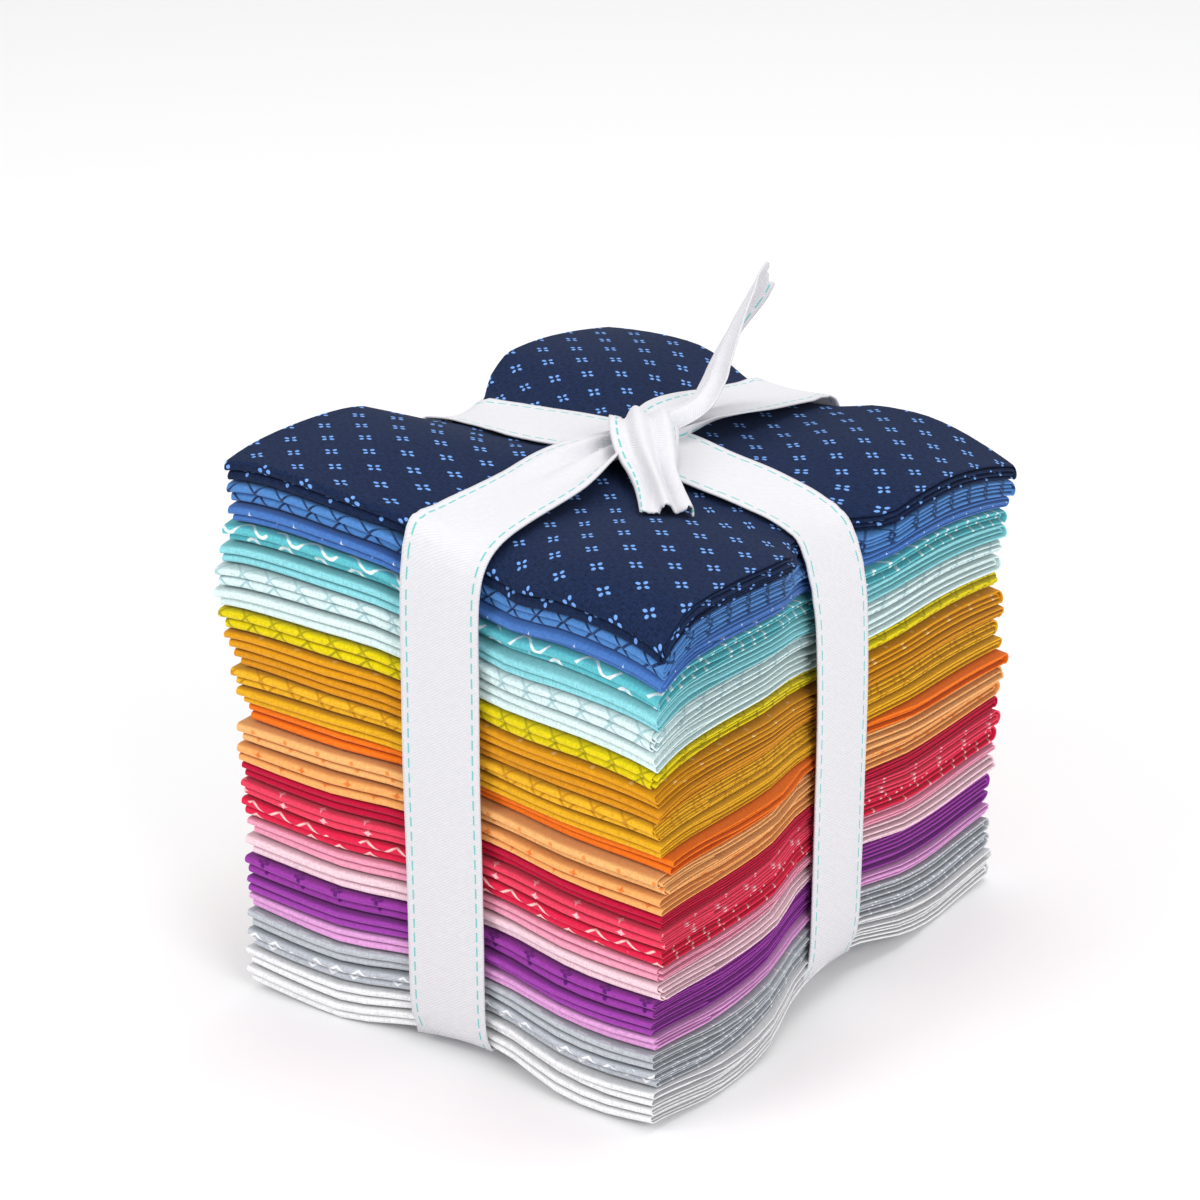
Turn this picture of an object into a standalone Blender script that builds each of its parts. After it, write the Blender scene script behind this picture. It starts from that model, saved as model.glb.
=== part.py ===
"""Fat quarter bundle: twenty-seven folded cotton cloths in a stack, tied both ways with one length of tape.

Each cloth is an 18 by 22 inch cut. It is folded in four across its length, which gives a strip of four
plies, and the strip is folded over in three runs: the top run, a short run tucked under it and the under
run. The section of those runs lies in the YZ plane and runs along X. The tape pulls the middle of each
side in, so the stack stands as four soft lobes, thickest at the corner where both sets of folds meet.
"""
import math

import bmesh
import bpy
import numpy as np
from mathutils import Matrix, Vector

MM = 0.001
INCH = 0.0254

# The cut cloth and its folded size
CUT_LENGTH = 22 * INCH
CUT_WIDTH = 18 * INCH
FOLDED_X = CUT_LENGTH / 4
FOLDED_Y = 7 * INCH
SHORT_RUN = CUT_WIDTH - 2 * FOLDED_Y
HALF_X = FOLDED_X / 2
HALF_Y = FOLDED_Y / 2

# A fold's round nose: how far back it starts, how far its shoulders stand off the tip,
# and how much of the fold's height each shoulder takes
NOSE = 3.0 * MM
SHOULDER_BACK = 0.7 * MM
SHOULDER_SHARE = 0.2
UNDER_EDGE_BACK = 1.6 * MM
GAP_SHARE = 0.135

# Lines that every cloth bends along, measured from the middle of the stack
VALLEY = 14 * MM
LOBE_X = 42 * MM
LOBE_Y = 52 * MM

# The stack at its four corners: its height, and how far the highest cloth droops there
CORNERS = (
    dict(x=-1, y=-1, height=162 * MM, droop=3 * MM),
    dict(x=1, y=-1, height=149 * MM, droop=9 * MM),
    dict(x=1, y=1, height=138 * MM, droop=6 * MM),
    dict(x=-1, y=1, height=149 * MM, droop=2 * MM),
)
PUFF = 3.5 * MM
PUFF_AT_EDGE = 0.4
FADE = 3

# The tape's grip at the middle of each side: how deep it presses the top's edge and the top abreast of
# the lobes, lifts the bottom and draws the edges in. In the middle of the top it rides a little high
GRIP = {
    "front": dict(press=8 * MM, abreast=1 * MM, lift=6 * MM, draw=3.0 * MM),
    "right": dict(press=12 * MM, abreast=0 * MM, lift=10 * MM, draw=4.0 * MM),
    "back": dict(press=6 * MM, abreast=0 * MM, lift=5 * MM, draw=2.5 * MM),
    "left": dict(press=14 * MM, abreast=5 * MM, lift=7 * MM, draw=3.6 * MM),
}
MIDDLE_PRESS = -1.5 * MM
MIDDLE_LIFT = 6 * MM

# The cloths from the top down. Share is of the stack's height; left, right, front and back say
# how far that edge stands out past the folded size, in mm
COLUMNS = ("name", "share", "left", "right", "front", "back", "colour")
CLOTHS = (
    ("navy_foulard", 1.12, 0.6, 0.8, 0.6, 0.6, (0.017, 0.025, 0.073)),
    ("blue_trellis", 1.10, 0.4, 0.4, 0.2, 0.4, (0.112, 0.266, 0.597)),
    ("blue_stars", 0.90, 0.2, -0.6, 0.0, -0.2, (0.078, 0.188, 0.515)),
    ("aqua_ripple", 1.00, 0.6, -1.4, 0.2, -0.8, (0.159, 0.597, 0.644)),
    ("pale_aqua", 0.95, 0.8, -0.8, 0.6, -0.2, (0.323, 0.723, 0.768)),
    ("mint_trellis", 1.10, 1.4, -1.6, 1.4, -1.0, (0.723, 0.871, 0.871)),
    ("mint_plain", 1.10, 1.6, -1.2, 1.4, -1.2, (0.775, 0.905, 0.890)),
    ("yellow_trellis", 1.15, 1.2, -1.8, 1.4, -0.6, (0.807, 0.665, 0.002)),
    ("amber_dots", 0.92, 1.4, -0.2, 1.4, 0.2, (0.855, 0.332, 0.004)),
    ("amber_plain", 0.95, 0.4, 0.2, 0.6, 0.4, (0.730, 0.250, 0.003)),
    ("gold_trellis", 0.95, 0.8, -0.4, 0.8, -0.2, (0.931, 0.473, 0.014)),
    ("gold_plain", 0.90, 0.2, 0.2, 0.2, 0.2, (0.871, 0.397, 0.006)),
    ("bright_orange", 0.90, -1.6, 0.8, -2.2, 0.8, (1.0, 0.195, 0.007)),
    ("peach_dots", 1.05, 0.2, 0.4, 0.6, 0.4, (1.0, 0.474, 0.171)),
    ("peach_stars", 1.05, 0.4, 0.8, 0.8, 0.6, (1.0, 0.424, 0.140)),
    ("crimson", 0.90, -0.2, 0.2, -0.2, 0.2, (0.584, 0.004, 0.042)),
    ("coral_stars", 0.95, 0.2, 0.8, 0.4, 0.6, (0.871, 0.058, 0.122)),
    ("red_trellis", 1.10, 0.2, 1.0, 0.4, -0.2, (0.807, 0.014, 0.078)),
    ("pink", 0.90, -0.8, 1.2, -0.4, 0.2, (0.930, 0.352, 0.503)),
    ("pale_pink", 1.10, -0.2, 1.6, 0.0, 0.4, (0.956, 0.651, 0.730)),
    ("purple_blossoms", 1.10, 0.0, 0.2, 0.2, -0.2, (0.356, 0.047, 0.392)),
    ("purple_plain", 0.90, 0.2, 0.0, 0.4, -0.4, (0.381, 0.051, 0.418)),
    ("orchid", 0.90, -0.2, 0.4, 0.0, 0.2, (0.799, 0.381, 0.730)),
    ("grey_dashes", 1.00, 0.2, 0.4, 0.4, 0.4, (0.539, 0.571, 0.604)),
    ("grey_trellis", 1.08, 0.2, 0.6, 0.4, 0.6, (0.521, 0.552, 0.604)),
    ("white_dots", 0.95, 0.2, 1.4, 1.0, 1.0, (0.905, 0.905, 0.938)),
    ("white_plain", 1.00, 0.0, 1.6, 1.4, 1.4, (0.914, 0.914, 0.947)),
)
CLOTH_ROUGHNESS = 0.85

# The tape, its room over the cloth, the greater room where it bends over the stack's edges, and where
# along a side it is divided
TAPE_WIDTH = 1 * INCH
TAPE_THICK = 1.0 * MM
TAPE_ROOM = 0.8 * MM
EDGE_ROOM = 2.0 * MM
UNDER_ROOM = 1.4 * MM
SIDE_ROOM = 0.8 * MM
BEND_RADIUS = 2.8 * MM
BEND_ANGLES = (5, 35, 62, 90)
WALL_SHARES = (1 / 3, 2 / 3)
CROSSING_STEP = 0.6 * MM
TAPE_COLOUR = (0.905, 0.888, 0.905)
TAPE_ROUGHNESS = 0.8

# The knot's size, its turn and its place from the crossing, and the two free ends outwards from there.
# Turn is the angle of the tape's width from level, in degrees, and width is a share of the whole tape
KNOT_SIZE = (29 * MM, 20 * MM, 13 * MM)
KNOT_TURN = 35
KNOT_PLACE = (5 * MM, -2 * MM, 3.8 * MM)
FREE_END_COLUMNS = ("x", "y", "z", "turn", "width")
SHORT_END = (
    (3, -2, 4.5, 0, 0.50),
    (11, -8, 6.5, 0, 0.55),
    (20, -17, 5.5, 0, 0.55),
    (29, -27, 3.2, 5, 0.50),
    (36, -35, 1.4, 5, 0.50),
)
LONG_END = (
    (2, 3, 4.5, 0, 0.70),
    (4, 10, 6, -5, 0.80),
    (6, 18, 7, -15, 0.80),
    (6, 27, 8, -30, 0.80),
    (6, 34, 10, -45, 0.75),
    (6, 39, 15, -52, 0.65),
    (6, 45, 21, -56, 0.55),
    (6, 57, 31.5, -58, 0.30),
)


def straight_lines(place, places, values):
    """The value at a place on straight lines through a short table. The end lines run on past the table."""
    i = min(max(np.searchsorted(places, place) - 1, 0), len(places) - 2)
    share = (place - places[i]) / (places[i + 1] - places[i])
    return values[i] + share * (values[i + 1] - values[i])


def sloping_height(x, y):
    """The stack's height mixed evenly from its four corners, as a gently sloping block."""
    shares = [(1 + row["x"] * x / HALF_X) * (1 + row["y"] * y / HALF_Y) / 4 for row in CORNERS]
    return sum(share * row["height"] for share, row in zip(shares, CORNERS))


def corner_droop(x, y):
    """The droop of the nearest corner, which fades to nothing at the middle of its lobe."""
    near_x = straight_lines(abs(x), (0, LOBE_X, HALF_X), (0, 0, 1))
    near_y = straight_lines(abs(y), (0, LOBE_Y, HALF_Y), (0, 0, 1))
    own = next(row for row in CORNERS if row["x"] * x >= 0 and row["y"] * y >= 0)
    return own["droop"] * near_x * near_y


def two_valleys(x, y, depth_y, depth_x):
    """Two crossing valleys with straight sides, from the depths of their floors at a place."""
    first = depth_y * np.interp(abs(x), (VALLEY, LOBE_X), (1, 0))
    second = depth_x * np.interp(abs(y), (VALLEY, LOBE_Y), (1, 0))
    return max(first, second, key=abs)


def pressed(x, y):
    """How far the tape presses the top down."""
    front, right, back, left = (GRIP[side] for side in ("front", "right", "back", "left"))
    along_y = (front["press"], front["abreast"], MIDDLE_PRESS, back["abreast"], back["press"])
    along_x = (left["press"], left["abreast"], MIDDLE_PRESS, right["abreast"], right["press"])
    depth_y = straight_lines(y, (-HALF_Y, -LOBE_Y, 0, LOBE_Y, HALF_Y), along_y)
    depth_x = straight_lines(x, (-HALF_X, -LOBE_X, 0, LOBE_X, HALF_X), along_x)
    return two_valleys(x, y, depth_y, depth_x)


def lifted(x, y):
    """How far the tape lifts the bottom."""
    along_y = (GRIP["front"]["lift"], MIDDLE_LIFT, GRIP["back"]["lift"])
    along_x = (GRIP["left"]["lift"], MIDDLE_LIFT, GRIP["right"]["lift"])
    depth_y = straight_lines(y, (-HALF_Y, 0, HALF_Y), along_y)
    depth_x = straight_lines(x, (-HALF_X, 0, HALF_X), along_x)
    return two_valleys(x, y, depth_y, depth_x)


def stack_height(x, y, level):
    """Height in the stack at a place, where level is 0 under the lowest cloth and 1 on the highest.

    The top's relief fades downwards and the bottom's fades upwards, each with a power of the level,
    so the layers between stay apart.
    """
    puff_x = straight_lines(abs(x), (0, VALLEY, LOBE_X, HALF_X), (0, 0, 1, PUFF_AT_EDGE))
    puff_y = straight_lines(abs(y), (0, VALLEY, LOBE_Y, HALF_Y), (0, 0, 1, PUFF_AT_EDGE))
    top = PUFF * puff_x * puff_y - corner_droop(x, y) - pressed(x, y)
    return level * sloping_height(x, y) + top * level**FADE + lifted(x, y) * (1 - level) ** FADE


def drawn_in(place, side):
    """How far the tape draws a side in at a place along it: all of it under the tape, none at the lobes."""
    return GRIP[side]["draw"] * np.interp(abs(place), (VALLEY, LOBE_X), (1, 0))


def fold_section(low, share, gap):
    """Outline of one folded cloth in the YZ plane, as named stretches in the order that they follow.

    Each point is the end that it keeps to (front, back or middle), the distance from it, and the level.
    The top run folds over at the front into the short run, which ends past the middle of the stack, and
    at the back into the under run, whose own edge lies at the front.
    """
    top = low + share - gap
    third = (share - 3 * gap) / 3
    half = (share - 2 * gap) / 2
    fold = top - third - gap
    short = low + third + gap
    inside = (-LOBE_Y, -VALLEY, VALLEY)
    back_bend = (top - low) * SHOULDER_SHARE
    front_bend = (top - short) * SHOULDER_SHARE

    def stretch(front, level, far_level):
        near = [("middle", y, level) for y in inside]
        return [("front", front, level), *near, ("middle", LOBE_Y, far_level), ("back", NOSE, far_level)]

    def short_stretch(level):
        near = [("middle", y, level) for y in inside[:2]]
        return [("front", NOSE, level), *near, ("front", SHORT_RUN, level)]

    return {
        "top_upper": stretch(NOSE, top, top),
        "back_fold": [
            ("back", SHOULDER_BACK, top - back_bend),
            ("back", SHOULDER_BACK, low + back_bend),
        ],
        "under_lower": stretch(UNDER_EDGE_BACK, low, low)[::-1],
        "under_upper": stretch(UNDER_EDGE_BACK, low + third, low + half),
        "top_lower": stretch(NOSE, top - third, top - half)[::-1],
        "short_upper": short_stretch(fold),
        "short_lower": short_stretch(short)[::-1],
        "front_fold": [
            ("front", SHOULDER_BACK, short + front_bend),
            ("front", SHOULDER_BACK, top - front_bend),
        ],
    }


def end_faces(ring):
    """Faces that close one end of a cloth: a ladder over each run, and a face over each fold."""
    for run in ("top", "under", "short"):
        rungs = list(zip(ring[run + "_upper"], ring[run + "_lower"][::-1]))
        for (a, b), (c, d) in zip(rungs, rungs[1:]):
            yield a, c, d, b
    back = (ring["under_lower"][0], ring["under_upper"][-1], ring["top_lower"][0])
    yield (ring["top_upper"][-1], *ring["back_fold"], *back)
    front = (ring["top_upper"][0], ring["top_lower"][-1], ring["short_upper"][0])
    yield (ring["short_lower"][-1], *ring["front_fold"], *front)


def cloth_mesh(cloth, low, share, gap):
    """One folded cloth: its section at each bend line across the stack, joined by triangles and closed."""
    section = fold_section(low, share, gap)
    bends = (-HALF_X, -LOBE_X, -VALLEY, VALLEY, LOBE_X, HALF_X)
    mesh = bmesh.new()
    rings = []
    for x in bends:
        ends = {
            "front": -HALF_Y - cloth["front"] * MM + drawn_in(x, "front"),
            "back": HALF_Y + cloth["back"] * MM - drawn_in(x, "back"),
            "middle": 0,
        }
        ring = {}
        for name, stretch in section.items():
            ring[name] = []
            for end, distance, level in stretch:
                y = ends[end] + (-distance if end == "back" else distance)
                place = x
                if x == bends[0]:
                    place = x - cloth["left"] * MM + drawn_in(y, "left")
                if x == bends[-1]:
                    place = x + cloth["right"] * MM - drawn_in(y, "right")
                ring[name].append(mesh.verts.new((place, y, stack_height(place, y, level))))
        rings.append(ring)

    # Each face splits along the same diagonal seen from above, so that layers with one bend stay parallel
    loops = [[vert for stretch in ring.values() for vert in stretch] for ring in rings]
    for near, far in zip(loops, loops[1:]):
        for i, a in enumerate(near):
            j = (i + 1) % len(near)
            b, c, d = near[j], far[j], far[i]
            halves = ((a, c, b), (a, d, c)) if b.co.y > a.co.y else ((a, d, b), (d, c, b))
            for half in halves:
                mesh.faces.new(half)
    for ring in (rings[0], rings[-1]):
        for face in end_faces(ring):
            mesh.faces.new(face)
    bmesh.ops.recalc_face_normals(mesh, faces=mesh.faces)
    return mesh


def plain_material(name, colour, roughness):
    material = bpy.data.materials.new(name)
    material.use_nodes = True
    shader = material.node_tree.nodes["Principled BSDF"]
    shader.inputs["Base Color"].default_value = (*colour, 1)
    shader.inputs["Roughness"].default_value = roughness
    shader.inputs["Metallic"].default_value = 0
    return material


def add_object(name, mesh, material, collection):
    data = bpy.data.meshes.new(name)
    mesh.to_mesh(data)
    mesh.free()
    data.materials.append(material)
    part = bpy.data.objects.new(name, data)
    collection.objects.link(part)
    return part


def make_cloths(collection):
    """Every cloth of the table, stacked from the top down in shares of the whole height."""
    rows = [dict(zip(COLUMNS, values)) for values in CLOTHS]
    total = sum(row["share"] for row in rows)
    gap = GAP_SHARE / total
    level = 1 + gap
    for row in rows:
        share = row["share"] / total * (1 + gap)
        level -= share
        material = plain_material(row["name"], row["colour"], CLOTH_ROUGHNESS)
        add_object("cloth_" + row["name"], cloth_mesh(row, level, share, gap), material, collection)


def tape_ribbon(name, rails, closed, collection):
    """A length of tape: a strip between pairs of points, one on each edge, with its thickness on."""
    mesh = bmesh.new()
    pairs = [(mesh.verts.new(a), mesh.verts.new(b)) for a, b in rails]
    following = pairs[1:] + pairs[:1] if closed else pairs[1:]
    for (a, b), (c, d) in zip(pairs, following):
        mesh.faces.new((a, b, d, c))
    bmesh.ops.recalc_face_normals(mesh, faces=mesh.faces)
    ribbon = add_object(name, mesh, bpy.data.materials["cotton_tape"], collection)
    thickness = ribbon.modifiers.new("thickness", "SOLIDIFY")
    thickness.thickness = TAPE_THICK
    thickness.offset = 0
    thickness.use_even_offset = True
    return ribbon


def loop_path(height, walls, bends, step):
    """A loop round the stack as distances along it and heights, for one edge of the tape.

    It lies on the top cloth, bends over each edge on an arc, hangs straight down the side and passes under
    the bottom. Height gives the stack's height at a distance and a level, and step lifts the loop off the
    one that it crosses.
    """
    reach = TAPE_THICK / 2
    quarter = [math.radians(angle) for angle in BEND_ANGLES]
    sides = []
    for side, wall in zip((-1, 1), walls):
        centre = wall - BEND_RADIUS
        high = height(side * wall, 1) + EDGE_ROOM + reach - BEND_RADIUS
        deep = height(side * wall, 0) - UNDER_ROOM - reach + BEND_RADIUS
        arc = [(BEND_RADIUS * math.sin(a), BEND_RADIUS * math.cos(a)) for a in quarter]
        over = [(side * (centre + out), high + up) for out, up in arc]
        down = [(side * wall, high + (deep - high) * share) for share in WALL_SHARES]
        under = [(side * (centre + out), deep - up) for out, up in arc[::-1]]
        sides.append(over + down + under)
    across = (-bends[1], -bends[0], bends[0], bends[1])
    lower = [(t, height(t, 0) - TAPE_ROOM - reach - step) for t in across]
    upper = [(t, height(t, 1) + TAPE_ROOM + reach + step) for t in across[::-1]]
    return sides[0] + lower + sides[1][::-1] + upper


def make_loops(collection):
    """The two loops of the tape: one over the front and back sides, one over the left and right sides."""
    walls = {}
    for side, half in (("front", HALF_Y), ("back", HALF_Y), ("left", HALF_X), ("right", HALF_X)):
        stand_out = max(row[COLUMNS.index(side)] for row in CLOTHS) * MM
        walls[side] = half + stand_out - GRIP[side]["draw"] + SIDE_ROOM + TAPE_THICK / 2
    first_walls = (walls["front"], walls["back"])
    second_walls = (walls["left"], walls["right"])
    first = []
    second = []
    for rail in (-TAPE_WIDTH / 2, TAPE_WIDTH / 2):

        def over_front_back(t, level):
            return stack_height(rail, t, level)

        def over_left_right(t, level):
            return stack_height(t, rail, level)

        path = loop_path(over_front_back, first_walls, (VALLEY, LOBE_Y), 0)
        first.append([Vector((rail, t, z)) for t, z in path])
        path = loop_path(over_left_right, second_walls, (VALLEY, LOBE_X), CROSSING_STEP)
        second.append([Vector((t, rail, z)) for t, z in path])
    front_back = tape_ribbon("tie_tape", list(zip(*first)), True, collection)
    left_right = tape_ribbon("left_right_loop", list(zip(*second)), True, collection)
    return front_back, left_right


def make_knot(place, collection):
    """The flat overhand knot: a soft lump made from a coarse cage."""
    mesh = bmesh.new()
    bmesh.ops.create_cube(mesh, size=1)
    bmesh.ops.scale(mesh, vec=KNOT_SIZE, verts=mesh.verts)
    turn = Matrix.Rotation(math.radians(KNOT_TURN), 3, "Z")
    bmesh.ops.rotate(mesh, cent=(0, 0, 0), matrix=turn, verts=mesh.verts)
    bmesh.ops.translate(mesh, vec=place, verts=mesh.verts)
    knot = add_object("knot", mesh, bpy.data.materials["cotton_tape"], collection)
    soft = knot.modifiers.new("soft", "SUBSURF")
    soft.levels = 2
    soft.render_levels = 2
    return knot


def make_free_end(name, rows, place, collection):
    """A free end of the tape, from the rows of its table, with its width turned about its own direction."""
    rows = [dict(zip(FREE_END_COLUMNS, values)) for values in rows]
    rails = []
    centres = [place + Vector((row["x"], row["y"], row["z"])) * MM for row in rows]
    for i, row in enumerate(rows):
        along = (centres[min(i + 1, len(rows) - 1)] - centres[max(i - 1, 0)]).normalized()
        level = along.cross(Vector((0, 0, 1))).normalized()
        turn = Matrix.Rotation(math.radians(row["turn"]), 3, along)
        side = turn @ level * row["width"] * TAPE_WIDTH / 2
        rails.append((centres[i] - side, centres[i] + side))
    return tape_ribbon(name, rails, False, collection)


def make_tape(collection, helpers):
    """The whole tape as one solid: both loops, the knot and the two free ends."""
    plain_material("cotton_tape", TAPE_COLOUR, TAPE_ROUGHNESS)
    tape, crossing = make_loops(collection)
    middle = Vector((0, 0, stack_height(0, 0, 1) + TAPE_ROOM + TAPE_THICK))
    joined = [
        crossing,
        make_knot(middle + Vector(KNOT_PLACE), collection),
        make_free_end("short_end", SHORT_END, middle, collection),
        make_free_end("long_end", LONG_END, middle, collection),
    ]
    for helper in joined:
        collection.objects.unlink(helper)
        helpers.objects.link(helper)
        helper.hide_render = True
        helper.display_type = "WIRE"
        union = tape.modifiers.new("with " + helper.name, "BOOLEAN")
        union.operation = "UNION"
        union.object = helper


def main():
    for old in list(bpy.data.objects):
        bpy.data.objects.remove(old, do_unlink=True)
    bundle = bpy.data.collections.new("fat_quarter_bundle")
    helpers = bpy.data.collections.new("tape_helpers")
    bpy.context.scene.collection.children.link(bundle)
    bpy.context.scene.collection.children.link(helpers)
    make_cloths(bundle)
    make_tape(bundle, helpers)


main()
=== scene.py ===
import math

import bpy
import numpy as np
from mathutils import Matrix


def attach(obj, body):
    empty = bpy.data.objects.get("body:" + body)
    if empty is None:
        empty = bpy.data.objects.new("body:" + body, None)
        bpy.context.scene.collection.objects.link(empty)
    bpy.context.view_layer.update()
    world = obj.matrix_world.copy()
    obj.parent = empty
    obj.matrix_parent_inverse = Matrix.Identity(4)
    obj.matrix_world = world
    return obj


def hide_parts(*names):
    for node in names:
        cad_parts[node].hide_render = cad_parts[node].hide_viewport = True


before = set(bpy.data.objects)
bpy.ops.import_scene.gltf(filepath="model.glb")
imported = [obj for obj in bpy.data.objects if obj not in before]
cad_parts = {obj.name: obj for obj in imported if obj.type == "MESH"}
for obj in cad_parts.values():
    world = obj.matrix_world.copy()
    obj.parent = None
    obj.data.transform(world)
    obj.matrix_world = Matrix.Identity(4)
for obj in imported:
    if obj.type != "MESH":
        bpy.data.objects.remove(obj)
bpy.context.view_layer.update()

# ---------------------------------------------------------------- the stack's shape
# The stack stands as four soft lobes. The tape presses two valleys into the top, lifts the
# bottom along the same lines and draws the middle of each side in. All sizes here are in mm.

HALF_X = 69.85
HALF_Y = 88.9
LOBE_X = 42
LOBE_Y = 52
STACK_CORNERS = (
    dict(x=-1, y=-1, height=162, droop=3, sharp=4, curl=2.5),
    dict(x=1, y=-1, height=149, droop=4, sharp=4, curl=3),
    dict(x=1, y=1, height=138, droop=6, sharp=2, curl=2),
    dict(x=-1, y=1, height=148, droop=3, sharp=2, curl=2),
)
LOBE_PUFF = 3.5
LOWEST_LIFT = 6
TOP_VALLEYS = (34, 37)
BOTTOM_VALLEYS = (48, 60)


def ease(t):
    """A soft step of t: 0 up to 0, 1 from 1 on, and 3t^2 - 2t^3 between them."""
    t = np.clip(t, 0, 1)
    return t * t * (3 - 2 * t)


def eased_table(place, places, values):
    """The values of a short table, each joined to the next by a soft step."""
    total = values[0] + 0 * place
    for start, end, low, high in zip(places, places[1:], values, values[1:]):
        total = total + (high - low) * ease((place - start) / (end - start))
    return total


def roll_off(place, start, end):
    """How far an edge has rolled over: the square of the way from start to end, and 0 before it."""
    return np.clip((place - start) / (end - start), 0, 1.05) ** 2


def crossed(x, y, along_y, along_x, wide_x, wide_y):
    """Two crossing valleys: each depth times a soft step across its width, mixed where both are deep.
    The one from front to back slants a little, from the right at the front to the left at the back."""
    first = 1 - ease(abs(x - 1.5 + y / 14) / wide_x)
    second = 1 - ease(abs(y - 2) / wide_y)
    mixed = (first**2 * along_y + second**2 * along_x) / (first**2 + second**2 + 1e-6)
    return mixed * (1 - (1 - first) * (1 - second))


def stack_height(x, y, level):
    """Height in mm at a place of the stack, for a level from 0 (underside) to 1 (top).

    The level times a sloping block, plus the top's relief times the level cubed, plus the
    underside's relief times the cube of what is left, plus a slow swell of the layers between.
    """
    block = 0
    droop = 0
    curl = 0
    near_x = np.clip((abs(x) - 38) / (HALF_X - 38), 0, 1.1)
    near_y = np.clip((abs(y) - 46) / (HALF_Y - 46), 0, 1.1)
    for corner in STACK_CORNERS:
        block = block + corner["height"] * (1 + corner["x"] * x / HALF_X) * (1 + corner["y"] * y / HALF_Y) / 4
        here = (x * corner["x"] >= 0) & (y * corner["y"] >= 0)
        droop = droop + np.where(here, corner["droop"], 0) * (near_x * near_y) ** corner["sharp"]
        curl = curl + np.where(here, corner["curl"], 0) * (near_x * near_y) ** 1.6
    press_y = eased_table(y, (-LOBE_Y, 0, LOBE_Y), (1, -1.5, 0))
    press_y = press_y + 7 * roll_off(-y, 56, HALF_Y) + 6 * roll_off(y, 56, HALF_Y)
    press_x = eased_table(x, (-LOBE_X, 0, LOBE_X), (5, -1.5, 0))
    press_x = press_x + 9 * roll_off(-x, 44, HALF_X) + 11 * roll_off(x, 44, HALF_X)
    folded_down = 5 * ease((x - 4) / 14) * roll_off(-y, 72, HALF_Y)
    lift_x = eased_table(x, (-HALF_X, 0, HALF_X), (7, LOWEST_LIFT, 10))
    lift_y = eased_table(y, (-HALF_Y, 0, HALF_Y), (6, LOWEST_LIFT, 5))
    puff = eased_table(abs(x), (10, LOBE_X, HALF_X + 12), (0, 1, 0.4))
    puff = puff * eased_table(abs(y), (10, LOBE_Y, HALF_Y + 16), (0, 1, 0.4))
    pucker = np.sin(0.5 * (x - y) + 1.6 * np.sin(y / 8)) * np.exp(-((abs(y) - 20) / 9) ** 2)
    pucker = pucker + np.sin(0.42 * (x + y) + 1.4 * np.sin(x / 7)) * np.exp(-((abs(x) - 20) / 8) ** 2)
    top = LOBE_PUFF * puff - droop - folded_down - crossed(x, y, press_y, press_x, *TOP_VALLEYS) + 0.22 * pucker
    bottom = crossed(x, y, lift_y, lift_x, *BOTTOM_VALLEYS) + curl
    swell = np.sin(x / 17 + 9 * level + 1) * np.sin(y / 21 - 7 * level) * level * (1 - level)
    return level * block + top * level**3 + bottom * (1 - level) ** 3 + 2.2 * swell


def drawn_in(place, most, shoulder, level):
    """How far a side is drawn in at a place along it: all under the tape, none beside the lobes. The
    highest cloths are drawn in by a shoulder more, where the tape bends over the edge."""
    shoulder = shoulder * level**9 * (1 - ease((abs(place) - 13) / 15))
    return most * (1 - ease((abs(place) - 11) / 31)) + shoulder


# ---------------------------------------------------------------- the cloths
# Twenty-seven cuts of quilting cotton, 18 by 22 in. The 22 in are folded in four, and the strip
# of four plies is folded over again, so the front shows two round folds for each cloth and the
# right side shows the turns of its runs. Each is one thin printed sheet.

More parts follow.
